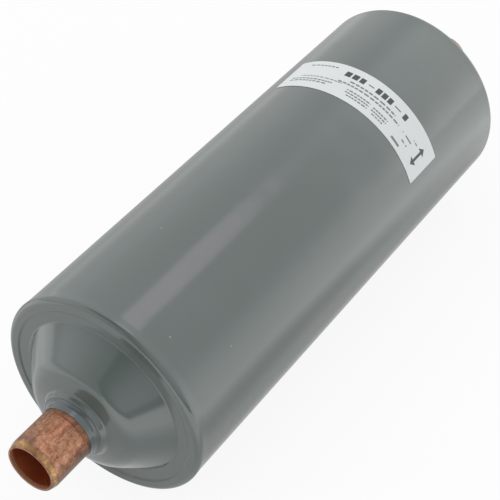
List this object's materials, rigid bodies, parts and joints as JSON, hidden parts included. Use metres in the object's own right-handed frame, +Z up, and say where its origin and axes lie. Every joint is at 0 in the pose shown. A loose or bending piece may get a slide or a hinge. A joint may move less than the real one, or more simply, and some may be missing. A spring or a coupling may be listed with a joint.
{
  "type": "filter drier",
  "caption": "Reversible filter drier: steel barrel with domed caps, a copper solder socket at each end, and a desiccant core between two spring-loaded check valve plates.",
  "frame": {"origin": "middle of the barrel, on its axis", "axes": "+X along the barrel from port A, the nearer one in the picture, to port B; +Z up with the drier lying level"},
  "size_m": [0.2618, 0.0766, 0.0766],
  "materials": {
    "grey_paint": "semi-gloss grey enamel",
    "painted_braze": "braze metal under grey enamel",
    "copper": "bare heat-tinted copper",
    "label_film": "white printed film",
    "plated_steel": "zinc plated sheet",
    "spring_steel": "bright spring steel",
    "turned_brass": "turned brass",
    "felt": "white felt",
    "desiccant": "bonded beads"
  },
  "bodies": {
    "housing": {"shell_tube": "grey_paint", "end_cap_a": "grey_paint", "end_cap_b": "grey_paint", "braze_ring_a": "painted_braze", "braze_ring_b": "painted_braze", "port_fitting_a": "copper", "port_fitting_b": "copper", "label": "label_film", "valve_plate_a": "plated_steel", "valve_plate_b": "plated_steel", "seat_hub_a": "turned_brass", "seat_hub_b": "turned_brass", "outlet_cage_a": "plated_steel", "outlet_cage_b": "plated_steel", "core_cup_a": "plated_steel", "core_cup_b": "plated_steel", "felt_pad_a": "felt", "felt_pad_b": "felt", "bore_screen": "plated_steel", "desiccant_core": "desiccant", "inlet_valve_spring_a": "spring_steel", "inlet_valve_spring_b": "spring_steel", "outlet_spring_a": "spring_steel", "outlet_spring_b": "spring_steel", "pack_spring_a": "spring_steel", "pack_spring_b": "spring_steel"},
    "inlet_valve_a": {"inlet_valve_ring_a": "spring_steel"},
    "inlet_valve_b": {"inlet_valve_ring_b": "spring_steel"},
    "outlet_valve_a": {"outlet_poppet_a": "turned_brass"},
    "outlet_valve_b": {"outlet_poppet_b": "turned_brass"}
  },
  "joints": [
    {"name": "inlet_lift_a", "type": "slide", "parent": "housing", "child": "inlet_valve_a", "axis": [1, 0, 0], "range_m": [0, 0.0025], "stiffness_N_per_m": 250, "springref_m": -0.001, "deforming": ["inlet_valve_spring_a"]},
    {"name": "inlet_lift_b", "type": "slide", "parent": "housing", "child": "inlet_valve_b", "axis": [-1, 0, 0], "range_m": [0, 0.0025], "stiffness_N_per_m": 250, "springref_m": -0.001, "deforming": ["inlet_valve_spring_b"]},
    {"name": "outlet_lift_a", "type": "slide", "parent": "housing", "child": "outlet_valve_a", "axis": [-1, 0, 0], "range_m": [0, 0.0025], "stiffness_N_per_m": 250, "springref_m": -0.001, "deforming": ["outlet_spring_a"]},
    {"name": "outlet_lift_b", "type": "slide", "parent": "housing", "child": "outlet_valve_b", "axis": [1, 0, 0], "range_m": [0, 0.0025], "stiffness_N_per_m": 250, "springref_m": -0.001, "deforming": ["outlet_spring_b"]}
  ]
}
